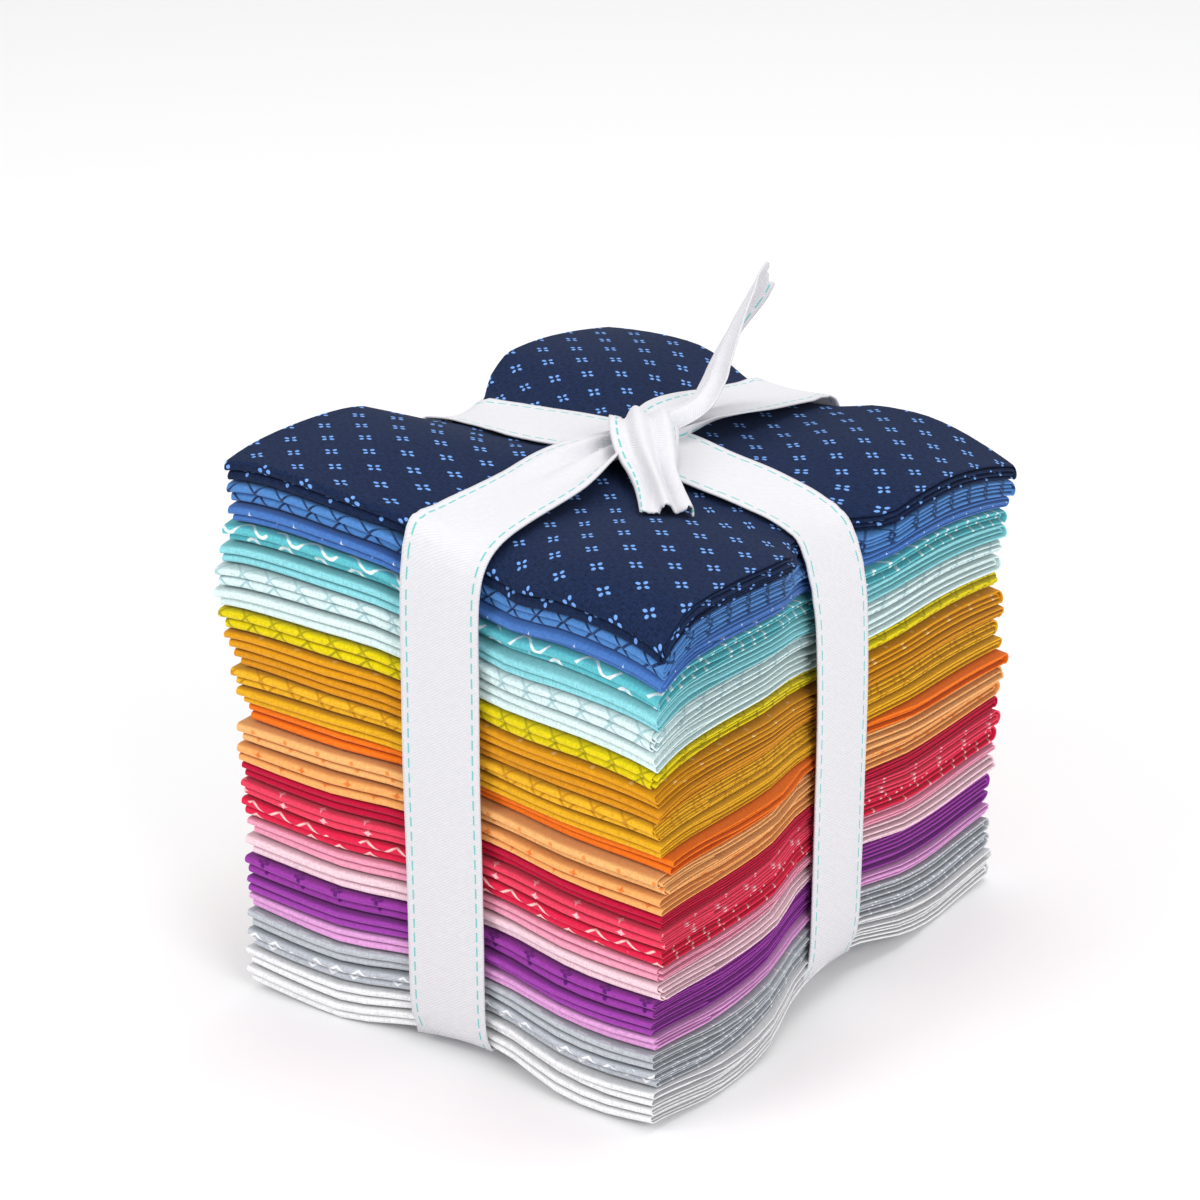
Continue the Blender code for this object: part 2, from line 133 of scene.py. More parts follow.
MM = 0.001
CUT_LENGTH = 558.8
CUT_WIDTH = 457.2
RUN_LENGTH = 177.8
SHORT_REACH = 80
RETURN_REACH = 21.6
STACK_HEIGHT = 148
UNDER_TAPE = 0.4
PLY_EDGES = (0, 0.8, 2, 4, 8, 15)
RUN_EDGES = (0, 0.8, 2, 4.5, 9, 14, 21, 28)
FRONT_REACH = 0.219
BACK_REACH = 0.437
DRAWN = dict(front=(3.0, 3.5), right=(4.0, 7.0), back=(2.5, 3.5), left=(3.6, 4.5))
CLOTH_COLUMNS = ("name", "share", "left", "right", "front", "back", "recess", "ground", "ink", "print", "step")
CLOTHS = (
    ("navy_foulard", 1.12, 0.6, 0.8, 0.6, 0.6, 0.3, "#162443", "#77A9F2", "foulard", 13.8),
    ("blue_trellis", 1.10, 0.4, 0.4, 0.2, 0.4, 1.2, "#4F86C8", "#162750", "trellis", 9.0),
    ("blue_stars", 0.90, 0.2, -0.6, 0.0, -0.2, 1.0, "#4878C0", "#DCEBFA", "stars", 15.0),
    ("aqua_ripple", 1.00, 2.0, -1.4, 0.2, -0.8, 1.8, "#5FC0CB", "#F2FBFC", "ripple", 11.0),
    ("pale_aqua", 0.95, 2.8, -0.8, 0.6, -0.2, 0.6, "#8FD9E1", "#74C6D2", "plain", 9.0),
    ("mint_trellis", 1.10, 4.0, -1.6, 1.4, -1.0, 0.4, "#DDF1F2", "#A9CDD2", "trellis", 9.0),
    ("mint_plain", 1.10, 4.2, -1.4, 1.4, -1.2, 0.8, "#DFF3F3", "#C6E6E8", "plain", 9.0),
    ("yellow_trellis", 1.15, 3.8, -1.8, 1.4, -0.6, 1.0, "#E6D100", "#A89A00", "trellis", 9.0),
    ("amber_dots", 0.92, 2.6, -0.8, 1.4, 0.2, 0.6, "#E29C0E", "#FBDB9A", "dots", 12.0),
    ("amber_plain", 0.95, 0.4, 0.2, 0.6, 0.4, 0.8, "#DC9410", "#C87A06", "plain", 9.0),
    ("gold_trellis", 0.95, 1.6, -0.4, 0.8, -0.2, 1.4, "#F0B622", "#C98A0C", "trellis", 10.0),
    ("gold_plain", 0.90, 0.2, 0.2, 0.2, 0.2, 0.8, "#EAAE18", "#D79408", "plain", 9.0),
    ("bright_orange", 0.90, -1.6, 2.2, -2.2, 0.8, 0.2, "#FF7A14", "#E8660A", "plain", 9.0),
    ("peach_dots", 1.05, 0.2, 1.6, 0.6, 0.4, 1.4, "#FFB873", "#F08A3C", "dots", 11.0),
    ("peach_stars", 1.05, 0.4, 0.8, 0.8, 0.6, 0.4, "#FFAE66", "#E9742A", "stars", 15.0),
    ("crimson", 0.90, -0.2, 0.6, -0.2, 0.2, 0.9, "#C4063A", "#A80430", "plain", 9.0),
    ("coral_stars", 0.95, 0.2, 1.6, 0.4, 0.6, 0.5, "#EE4060", "#FBC6CF", "stars", 14.0),
    ("red_trellis", 1.10, 0.2, 1.0, 0.4, -0.2, 1.2, "#E41E4A", "#F8D3CF", "chevron", 16.0),
    ("pink", 0.90, -0.8, 1.2, -0.4, 0.2, 0.6, "#F5A0BC", "#EC88A8", "plain", 9.0),
    ("pale_pink", 1.10, -0.2, 1.6, 0.0, 0.4, 1.2, "#FAD3DE", "#F3BCCB", "plain", 9.0),
    ("purple_blossoms", 1.10, 0.0, 0.2, 0.2, -0.2, 1.0, "#9C3AA4", "#56126A", "blossoms", 13.0),
    ("purple_plain", 0.90, 0.2, 0.0, 0.4, -0.4, 0.5, "#A040AA", "#8A2F94", "plain", 9.0),
    ("orchid", 0.90, -0.2, 0.4, 0.0, 0.2, 0.9, "#E5A4DC", "#D98ED0", "plain", 9.0),
    ("grey_dashes", 1.00, 0.2, 0.4, 0.4, 0.4, 0.7, "#BFC4CA", "#F4F6F8", "dashes", 8.0),
    ("grey_trellis", 1.08, 0.2, 0.6, 0.4, 0.6, 1.2, "#BEC3CB", "#FAFBFC", "chevron", 12.0),
    ("white_dots", 0.95, 0.2, 1.4, 1.0, 1.0, 0.8, "#F4F4F8", "#E2E2EA", "dots", 12.0),
    ("white_plain", 1.00, 0.0, 1.6, 1.4, 1.4, 0.6, "#F5F5F9", "#E9E9EF", "plain", 9.0),
)


def spread(edges, length, step):
    """Distances along a run: close together at both ends, then no more than a step apart."""
    inner = length - 2 * edges[-1]
    count = math.ceil(inner / step)
    middle = edges[-1] + inner * np.arange(1, count) / count
    return np.concatenate((edges, middle, length - np.array(edges[::-1])))


def ply_rows(fine):
    """Across the cut: four plies joined by three folds, back and forth from a raw edge on the left.

    Columns are the share of the right edge in the place, the reach off it in run thicknesses, and
    the height off the run's middle in run thicknesses.
    """
    places = spread(PLY_EDGES, 2 * HALF_X, 9 / fine) / (2 * HALF_X)
    flat = 0.125 - 0.25 * places
    angles = np.radians(np.linspace(0, 180, 6 * fine + 1)[1:-1])

    def fold(side, middle):
        reach = (-0.125 if side else 0.125) + (1 if side else -1) * 0.125 * np.sin(angles)
        return np.stack((side + 0 * angles, reach, middle + 0.125 * np.cos(angles)), 1)

    def ply(height, reverse):
        rows = np.stack((places, flat, height + 0 * places), 1)
        return rows[::-1] if reverse else rows

    return np.concatenate((
        ply(0.375, False), fold(1, 0.25), ply(0.125, True), fold(0, 0),
        ply(-0.125, False), fold(1, -0.25), ply(-0.375, True),
    ))


def run_rows(fine):
    """Along the cut: the short run, the front fold, the top run, the back fold, the under run, the
    lower front fold and the return.

    Columns are the share of the back edge in the place, the distance off the front edge in mm, the
    reach in cloth heights, the level in the cloth, the way that the face of the cloth points (along
    and up), the run's thickness in cloth heights, and whether the row belongs to the lower fold.
    """
    long_run = spread(RUN_EDGES, RUN_LENGTH, 8.5 / fine)
    short_run = long_run[long_run < SHORT_REACH - 4]
    short_run = np.append(short_run, SHORT_REACH)
    back_run = np.array([0, 1, 2.5, 5, 9, 14, RETURN_REACH])
    thickness = (0.25, 1 / 3, 0.5)
    changes = (RETURN_REACH - 8, RETURN_REACH + 8, SHORT_REACH - 6, SHORT_REACH + 12)

    def by_distance(away, front, middle, back):
        return eased_table(away, changes, (front, middle, middle, back))

    def run(away, levels, up, share, off, lower, reverse):
        reach = (1 - share) * FRONT_REACH - share * BACK_REACH
        rows = np.stack((
            share, off, reach, by_distance(away, *levels), 0 * away, up + 0 * away,
            by_distance(away, *thickness), lower + 0 * away,
        ), 1)
        return rows[::-1] if reverse else rows

    def fold(angles, share, middle, radius, outer, thick, lower):
        angles = np.radians(angles)
        side = 1 if share else -1
        along, up = side * np.cos(angles), np.sin(angles)
        return np.stack((
            share + 0 * angles, 0 * angles, -side * outer + radius * along, middle + radius * up,
            along, up, thick + 0 * angles, lower + 0 * angles,
        ), 1)

    turn = np.linspace(-90, 90, 8 * fine + 1)[1:-1]
    wide = np.linspace(90, -90, 10 * fine + 1)[1:-1]
    far = long_run / RUN_LENGTH
    return np.concatenate((
        run(short_run, (0.625, 0.5, 0.5), -1, 0 * short_run, short_run, 0, True),
        fold(turn, 0, 0.75, 0.125, FRONT_REACH, 0.25, 0),
        run(long_run, (0.875, 5 / 6, 0.75), 1, far, 0 * far, 0, False),
        fold(wide, 1, 0.5, 0.25, BACK_REACH, 0.5, 0.5),
        run(long_run, (0.125, 1 / 6, 0.25), -1, far, 0 * far, 1, True),
        fold(turn, 0, 0.25, 0.125, FRONT_REACH, 0.25, 1),
        run(back_run, (0.375, 0.375, 0.375), 1, 0 * back_run, back_run, 1, False),
    ))


def slow_wave(place, chance, height):
    """An uneven line: three sine waves of unlike lengths with chance starts."""
    starts = chance.uniform(0, 2 * math.pi, 3)
    lengths = chance.uniform(0.8, 1.25, 3) * (9, 16, 31)
    heights = np.array((0.25, 0.4, 0.6)) * height
    return sum(h * np.sin(place / length + start) for h, length, start in zip(heights, lengths, starts))


def path_length(rows, whole):
    """Length along a row of points, stretched to the whole length of the cut."""
    steps = np.sqrt((np.diff(rows, axis=0) ** 2).sum(1))
    length = np.concatenate(((0,), np.cumsum(steps)))
    return length * whole / length[-1]


def sheet_mesh(name, points, flat_u, flat_v):
    """A mesh on a grid of points in mm, whose UV map is the flat cut in metres."""
    tall, wide = points.shape[:2]
    index = np.arange(tall * wide).reshape(tall, wide)
    corners = np.stack((index[:-1, :-1], index[1:, :-1], index[1:, 1:], index[:-1, 1:]), -1).reshape(-1)
    mesh = bpy.data.meshes.new(name)
    mesh.vertices.add(tall * wide)
    mesh.vertices.foreach_set("co", (points * MM).astype(np.float32).ravel())
    mesh.loops.add(len(corners))
    mesh.loops.foreach_set("vertex_index", corners.astype(np.int32))
    mesh.polygons.add(len(corners) // 4)
    mesh.polygons.foreach_set("loop_start", np.arange(0, len(corners), 4, dtype=np.int32))
    mesh.polygons.foreach_set("use_smooth", np.ones(len(corners) // 4, bool))
    mesh.update(calc_edges=True)
    flat = np.stack(np.broadcast_arrays(flat_u, flat_v), -1).reshape(-1, 2)[corners] * MM
    mesh.uv_layers.new(name="flat cut").data.foreach_set("uv", flat.astype(np.float32).ravel())
    mesh.validate()
    made = bpy.data.objects.new(name, mesh)
    bpy.context.scene.collection.objects.link(made)
    return made


def folded_cloth(cloth, low, share, chance):
    """One folded cloth, as a function of the way across and the way along its cut.

    Each place is its share of the two edges, plus the reach of its folds. Its level in the stack is
    that of its run, plus the ply's height turned the way that the run's face points. The lower
    cloths draw back a little towards the front right corner.
    """
    fine = 2 if cloth["name"] == "navy_foulard" else 1
    across = ply_rows(fine)[None, :, :]
    along = run_rows(fine)[:, None, :]
    tall = share * STACK_HEIGHT
    right_share, ply_reach, ply_height = (across[..., i] for i in range(3))
    back_share, off_front, run_reach, level, lean, up, thick, lower = (along[..., i] for i in range(8))
    near_x = (2 * right_share - 1) * HALF_X
    near_y = (2 * back_share - 1) * HALF_Y + off_front

    def reach(side, place):
        """How far the cloth stands out past the folded size: little under the tape, all beside it."""
        beside = max(cloth[side] - UNDER_TAPE, 0) * ease((abs(place) - 15) / 26)
        return min(cloth[side], UNDER_TAPE) + beside

    deep = low + share / 2
    front = -HALF_Y - reach("front", near_x) + drawn_in(near_x, *DRAWN["front"], deep)
    front = front - 0.5 * max(cloth["left"] - 1, 0) * ease((-near_x - 30) / 30)
    upper = front + slow_wave(near_x, chance, 0.45)
    under = front + cloth["recess"] + slow_wave(near_x, chance, 0.65)
    front = upper + (under - upper) * lower
    back = HALF_Y + reach("back", near_x) - drawn_in(near_x, *DRAWN["back"], deep) + slow_wave(near_x, chance, 0.4)
    back = back - 2.5 * (1 - deep) * ease(near_x / 60)
    y = front + (back - front) * back_share + off_front
    y = y + (run_reach + lean * ply_height * thick) * tall

    run_shift = chance.uniform(-0.6, 0.6, 4)
    shift = run_shift[0] + (run_shift[1] - run_shift[0]) * lower
    right = HALF_X + reach("right", near_y) - drawn_in(near_y, *DRAWN["right"], deep) + slow_wave(near_y, chance, 0.35)
    right = right + shift + run_shift[2] * up + run_shift[3] * np.sign(ply_height) * 1.2
    right = right - 3.5 * (1 - deep) * ease((near_y + 20) / 100) - 4 * (1 - deep) ** 3 * ease((-near_y - 62) / 27)
    left = -HALF_X - reach("left", near_y) + drawn_in(near_y, *DRAWN["left"], deep) + slow_wave(near_y, chance, 0.4)
    left = left + chance.uniform(0, 1.5) * lower
    x = left + (right - left) * right_share + ply_reach * thick * tall

    level = level + up * ply_height * thick
    level = level + chance.uniform(-0.035, 0.045) * np.sin(math.pi * level)
    z = stack_height(x, y, low + share * level)
    points = np.stack(np.broadcast_arrays(x, y, z), -1)
    mid_row = along.shape[0] * 3 // 8
    flat_u = path_length(points[mid_row], CUT_LENGTH)[None, :]
    flat_v = path_length(points[:, across.shape[1] // 8], CUT_WIDTH)[:, None]
    return sheet_mesh(cloth["name"] + "_cloth", points, flat_u, flat_v)


class Shade:
    """One output of a material's nodes. Sums on it add the nodes that work them out."""

    def __init__(self, tree, output):
        self.tree = tree
        self.output = output

    def node(self, kind, settings=None, inputs=None, output=0):
        """Any other node: its settings first, then the values or links of its sockets."""
        made = self.tree.nodes.new(kind)
        for name, value in (settings or {}).items():
            setattr(made, name, value)
        for name, value in (inputs or {}).items():
            if isinstance(value, Shade):
                self.tree.links.new(value.output, made.inputs[name])
            else:
                made.inputs[name].default_value = value
        return Shade(self.tree, made.outputs[output])

    def sum(self, operation, *values):
        return self.node("ShaderNodeMath", {"operation": operation}, dict(enumerate(values)))

    def __add__(self, other):
        return self.sum("ADD", self, other)

    def __radd__(self, other):
        return self.sum("ADD", other, self)

    def __sub__(self, other):
        return self.sum("SUBTRACT", self, other)

    def __rsub__(self, other):
        return self.sum("SUBTRACT", other, self)

    def __mul__(self, other):
        return self.sum("MULTIPLY", self, other)

    def __rmul__(self, other):
        return self.sum("MULTIPLY", other, self)

    def __truediv__(self, other):
        return self.sum("DIVIDE", self, other)

    def __abs__(self):
        return self.sum("ABSOLUTE", self)

    def wave(self):
        return self.sum("SINE", self)

    def below(self, limit, soft):
        """1 where the value is under the limit and 0 over it, with a soft edge."""
        made = (limit - self) / soft + 0.5
        made.output.node.use_clamp = True
        return made

    def larger(self, other):
        return self.sum("MAXIMUM", self, other)

    def smaller(self, other):
        return self.sum("MINIMUM", self, other)

    def from_middle(self, step, shift):
        """The signed distance from the middle of the nearest repeat."""
        return (self.sum("FRACT", self / step + shift) - 0.5) * step

    def mix(self, first, second):
        """The first colour where this is 0 and the second where it is 1."""
        return self.node("ShaderNodeMix", {"data_type": "RGBA"}, {0: self, 6: first, 7: second}, 2)


def linear(code):
    """A colour code as linear light, with full cover."""
    parts = np.array([int(code[i:i + 2], 16) / 255 for i in (1, 3, 5)])
    light = np.where(parts <= 0.04045, parts / 12.92, ((parts + 0.055) / 1.055) ** 2.4)
    return (*light.tolist(), 1)


def shaded(code, factor):
    """A colour made lighter or darker by a factor on its light."""
    return (*[min(part * factor, 1) for part in linear(code)[:3]], 1)


def foulard_petals(x, y):
    """Four petals round a bare middle, on the two axes of the cloth."""
    far = abs(x).larger(abs(y))
    near = abs(x).smaller(abs(y))
    away = (far - 1.35) * (far - 1.35) / 0.45 + near * near / 0.26
    return away.below(1, 0.5)


def blossom(x, y):
    """Four wide petals that meet in the middle."""
    far = abs(x).larger(abs(y))
    near = abs(x).smaller(abs(y))
    away = (far - 1.1) * (far - 1.1) / 0.75 + near * near / 0.5
    return away.below(1, 0.5)


def star(x, y):
    """A star with four hollow sides: the roots of both distances add up to less than a limit."""
    return (abs(x).sum("SQRT", abs(x)) + abs(y).sum("SQRT", abs(y))).below(1.35, 0.25)


def dot(x, y):
    return (x * x + y * y).below(0.42, 0.3)


def dash(x, y):
    """A short bar along the cloth."""
    return abs(x).below(1.7, 0.2) * abs(y).below(0.28, 0.2)


SPOT_PRINTS = {
    "foulard": foulard_petals, "blossoms": blossom, "stars": star, "dots": dot, "dashes": dash,
}


def printed(kind, step, u, v):
    """Where the ink of a printed design lies, from 0 to 1."""
    if kind in SPOT_PRINTS:
        spot = SPOT_PRINTS[kind]
        first = spot(u.from_middle(step, 0), v.from_middle(step, 0))
        second = spot(u.from_middle(step, 0.5), v.from_middle(step, 0.5))
        return first.larger(second)
    if kind == "trellis":
        rising = abs((u + v).from_middle(step, 0.2))
        falling = abs((u - v).from_middle(step, 0.7))
        return rising.smaller(falling).below(0.48, 0.25)
    if kind == "chevron":
        zigzag = abs(u.from_middle(step * 0.6, 0.1)) * 0.62 + v
        gap = abs((u + 3 * v).from_middle(step * 2.3, 0.3)).below(step * 0.8, 0.3)
        return abs(zigzag.from_middle(step * 0.42, 0)).below(0.38, 0.25) * gap
    if kind == "ripple":
        bend = (u * (2 * math.pi / step)).wave() * 2.0 + v
        gap = abs((u + 1.7 * v).from_middle(step * 2.1, 0)).below(step * 0.8, 0.4)
        return abs(bend.from_middle(step * 0.5, 0)).below(0.55, 0.3) * gap
    return None


def cotton(name, ground, ink, kind, step):
    """Printed plain-weave cotton: fine mottled threads, its print, and a soft bump from the weave. The
    faces that point up or down lie in the gaps, so painted shade darkens them, except on the highest cloth."""
    material = bpy.data.materials.new(name)
    material.use_nodes = True
    tree = material.node_tree
    shader = tree.nodes["Principled BSDF"]
    start = Shade(tree, None)
    flat = start.node("ShaderNodeUVMap", {"uv_map": "flat cut"})
    u = flat.node("ShaderNodeSeparateXYZ", None, {0: flat}, 0) * 1000
    v = flat.node("ShaderNodeSeparateXYZ", None, {0: flat}, 1) * 1000

    def speckle(stretch_u, stretch_v, detail):
        place = u.node("ShaderNodeCombineXYZ", None, {0: u * stretch_u, 1: v * stretch_v})
        return place.node("ShaderNodeTexNoise", None, {"Vector": place, "Scale": 1.0, "Detail": detail})

    cross = speckle(2.6, 0.55, 1)
    lengthwise = speckle(0.55, 2.6, 1)
    patch = speckle(0.05, 0.05, 2)
    threads = (cross + lengthwise - 0.62) * 1.6
    threads.output.node.use_clamp = True
    dark = kind == "foulard"
    low, high = (0.42, 1.45) if dark else (0.78, 1.12)
    colour = threads.mix(shaded(ground, low), shaded(ground, high))
    faded = (patch - 0.35) * 0.5
    faded.output.node.use_clamp = True
    colour = faded.mix(colour, shaded(ground, 1.1 if dark else 1.04))
    where = printed(kind, step, u, v)
    if where is not None:
        worn = (threads * 0.5 + 0.62).smaller(1)
        colour = (where * worn).mix(colour, linear(ink))
    if not dark:
        # painted shade: faces that point up or down are mixed towards half their light, standing in for the shade in
        # the gaps between cloths
        facing = start.node("ShaderNodeNewGeometry", None, {}, 1)
        painted_gap_shade = (abs(facing.node("ShaderNodeSeparateXYZ", None, {0: facing}, 2)) - 0.62) * 1.6
        painted_gap_shade.output.node.use_clamp = True
        colour = painted_gap_shade.mix(colour, shaded(ground, 0.5))
    tree.links.new(colour.output, shader.inputs["Base Color"])
    weft = (u * (2 * math.pi / 0.42)).wave() * (v * (2 * math.pi / 0.42)).wave()
    height = weft * 0.35 + threads * 0.8 + patch * 0.4
    bump = height.node(
        "ShaderNodeBump", None, {"Strength": 0.35, "Distance": 0.0001, "Height": height}
    )
    tree.links.new(bump.output, shader.inputs["Normal"])
    shader.inputs["Roughness"].default_value = 0.88
    shader.inputs["Sheen Weight"].default_value = 0.02 if dark else 0.1
    shader.inputs["Sheen Roughness"].default_value = 0.5
    shader.inputs["Specular IOR Level"].default_value = 0.12 if dark else 0.2
    return material


cloth_rows = [dict(zip(CLOTH_COLUMNS, values)) for values in CLOTHS]
whole_share = sum(row["share"] for row in cloth_rows)
lowest = 1.0
for number, row in enumerate(cloth_rows):
    share = row["share"] / whole_share
    lowest -= share
    piece = folded_cloth(row, lowest + 0.03 * share, 0.94 * share, np.random.default_rng(40 + number))
    piece.data.materials.append(cotton(row["name"], row["ground"], row["ink"], row["print"], row["step"]))
    under = "cloth_" + cloth_rows[number + 1]["name"] if number + 1 < len(cloth_rows) else "tie_tape"
    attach(piece, "root")
    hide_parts("cloth_" + row["name"])


# ---------------------------------------------------------------- the tape
# One length of white twill tape, 1 in wide, with a running stitch along both edges. It goes round
# the stack both ways, gathers into a flat knot on top and ends in a short and a long free end.

TAPE_WIDTH = 25.4
TAPE_THICK = 0.5
TAPE_STEP = 1.8
PLEATS = 2.6
# The columns of these tables are x, y, z, turn and curl
FRONT_BACK_WAY = (
    (3, 5, 153.8, 0, 190), (2, -2, 154.4, 0, 205), (0, -9, 154.8, 0, 190), (-1, -17, 155.0, 0, 140),
    (-1, -28, 155.0, 0, 80), (0, -42, 154.6, 0, 25), (0, -56, 154.2, 0, 0), (0, -67, 153.6, 0, 0),
    (0, -75, 152.6, 0, 0), (0, -81, 150.6, 0, 0), (0, -85.2, 147.0, 0, 0), (0, -87.5, 141.5, 0, 0),
    (0, -88.5, 132, 0, 0), (0, -88.8, 110, 0, 0), (0, -89.1, 86, 0, 0), (0, -88.8, 64, 0, 0),
    (0, -88.7, 42, 0, 0), (0, -88.8, 22, 0, 0), (0, -88.3, 12, 0, 0), (0, -86.3, 6.8, 0, 0),
    (0, -81, 4.8, 0, 0), (0, -60, 4.6, 0, 0), (0, -20, 4.6, 0, 0), (0, 20, 4.4, 0, 0),
    (0, 60, 3.8, 0, 0), (0, 81, 3.8, 0, 0), (0, 86.3, 5.8, 0, 0), (0, 88.4, 11, 0, 0),
    (0, 88.9, 24, 0, 0), (0, 88.8, 50, 0, 0), (0, 88.9, 78, 0, 0), (0, 88.8, 104, 0, 0),
    (0, 88.6, 122, 0, 0), (0, 87.6, 132, 0, 0), (0, 85.0, 138.6, 0, 0), (0, 79, 143.0, 0, 0),
    (0, 68, 145.6, 0, 0), (0, 52, 148.6, 0, 10), (0, 38, 151.4, 0, 35), (0, 25, 153.2, 0, 75),
    (2, 14, 154.0, 0, 120),
)
LEFT_RIGHT_WAY = (
    (0, 0, 153.4, 0, 20), (12, 0, 152.6, 0, 10), (24, 0, 150.4, 0, 0), (38, 0, 148.4, 0, 0),
    (48, 0, 145.8, 0, 0), (55, 0, 142.4, 0, 0), (60.5, 0, 137.8, 0, 0), (64.6, 0, 132.0, 0, 0),
    (67.2, 0, 124, 0, 0), (68.4, 0, 112, 0, 0), (69.0, 0, 90, 0, 0), (68.8, 0, 62, 0, 0),
    (68.6, 0, 38, 0, 0), (68.2, 0, 20, 0, 0), (66.6, 0, 12.6, 0, 0), (61.5, 0, 9.6, 0, 0),
    (45, 0, 7.4, 0, 0), (15, 0, 3.9, 0, 0), (-15, 0, 3.9, 0, 0), (-45, 0, 4.6, 0, 0),
    (-61, 0, 5.6, 0, 0), (-66.5, 0, 8.6, 0, 0), (-68.6, 0, 16, 0, 0), (-69.2, 0, 40, 0, 0),
    (-69.3, 0, 72, 0, 0), (-69.3, 0, 104, 0, 0), (-69.0, 0, 124, 0, 0), (-68.0, 0, 134, 0, 0),
    (-65.6, 0, 139.4, 0, 0), (-60, 0, 144.8, 0, 0), (-52, 0, 147.8, 0, 0), (-40, 0, 149.6, 0, 0),
    (-28, 0, 150.8, 0, 0), (-15, 0, 151.8, 0, 10),
)
WRAP_WAY = (
    (0, 8, 152.6, 0, 150), (0, 5.5, 156.6, 0, 160), (2.5, 1.5, 160.2, 0, 160), (7, -4.5, 161.4, 0, 150),
    (11.5, -10, 159.4, 0, 155), (15.5, -14, 156.4, 0, 175), (19.5, -18, 154.4, 0, 210),
    (24.5, -23, 153.0, 0, 222), (30, -29, 152.4, 0, 215), (35.5, -35, 151.6, 0, 200),
)
LONG_WAY = (
    (1, -7, 155.0, 0, 215), (2, -1, 156.2, 2, 210), (3.4, 6, 157.0, 8, 185), (5, 13, 156.8, 18, 165),
    (6, 20, 157.2, 30, 155), (6.4, 26, 159.4, 42, 150), (5.8, 31, 162.8, 50, 150), (5, 36, 167.2, 53, 125),
    (4.4, 41, 171.4, 54, 100), (4.2, 46, 175.4, 55, 85), (4.6, 52, 180.2, 56, 75), (5.8, 57.5, 186.2, 55, 70),
)


def smooth_way(rows, closed, step):
    """A smooth curve through the rows of a table: each stretch is the cubic that keeps the slope
    between its two neighbours at both ends. It is then divided evenly by its length."""
    rows = np.array(rows, float)
    if closed:
        rows = np.concatenate((rows[-1:], rows, rows[:2]))
    else:
        rows = np.concatenate((2 * rows[:1] - rows[1:2], rows, 2 * rows[-1:] - rows[-2:-1]))
    t = np.linspace(0, 1, 24, endpoint=False)[:, None, None]
    a, b, c, d = rows[:-3], rows[1:-2], rows[2:-1], rows[3:]
    stretches = 0.5 * (2 * b + (c - a) * t + (2 * a - 5 * b + 4 * c - d) * t**2 + (3 * b - a - 3 * c + d) * t**3)
    line = np.concatenate((stretches.transpose(1, 0, 2).reshape(-1, rows.shape[1]), rows[-2:-1]))
    length = np.concatenate(((0,), np.cumsum(np.sqrt((np.diff(line[:, :3], axis=0) ** 2).sum(1)))))
    even = np.linspace(0, length[-1], int(length[-1] / step) + 1)
    return np.stack([np.interp(even, length, column) for column in line.T], 1), even


def unit(vectors):
    return vectors / np.linalg.norm(vectors, axis=-1, keepdims=True)


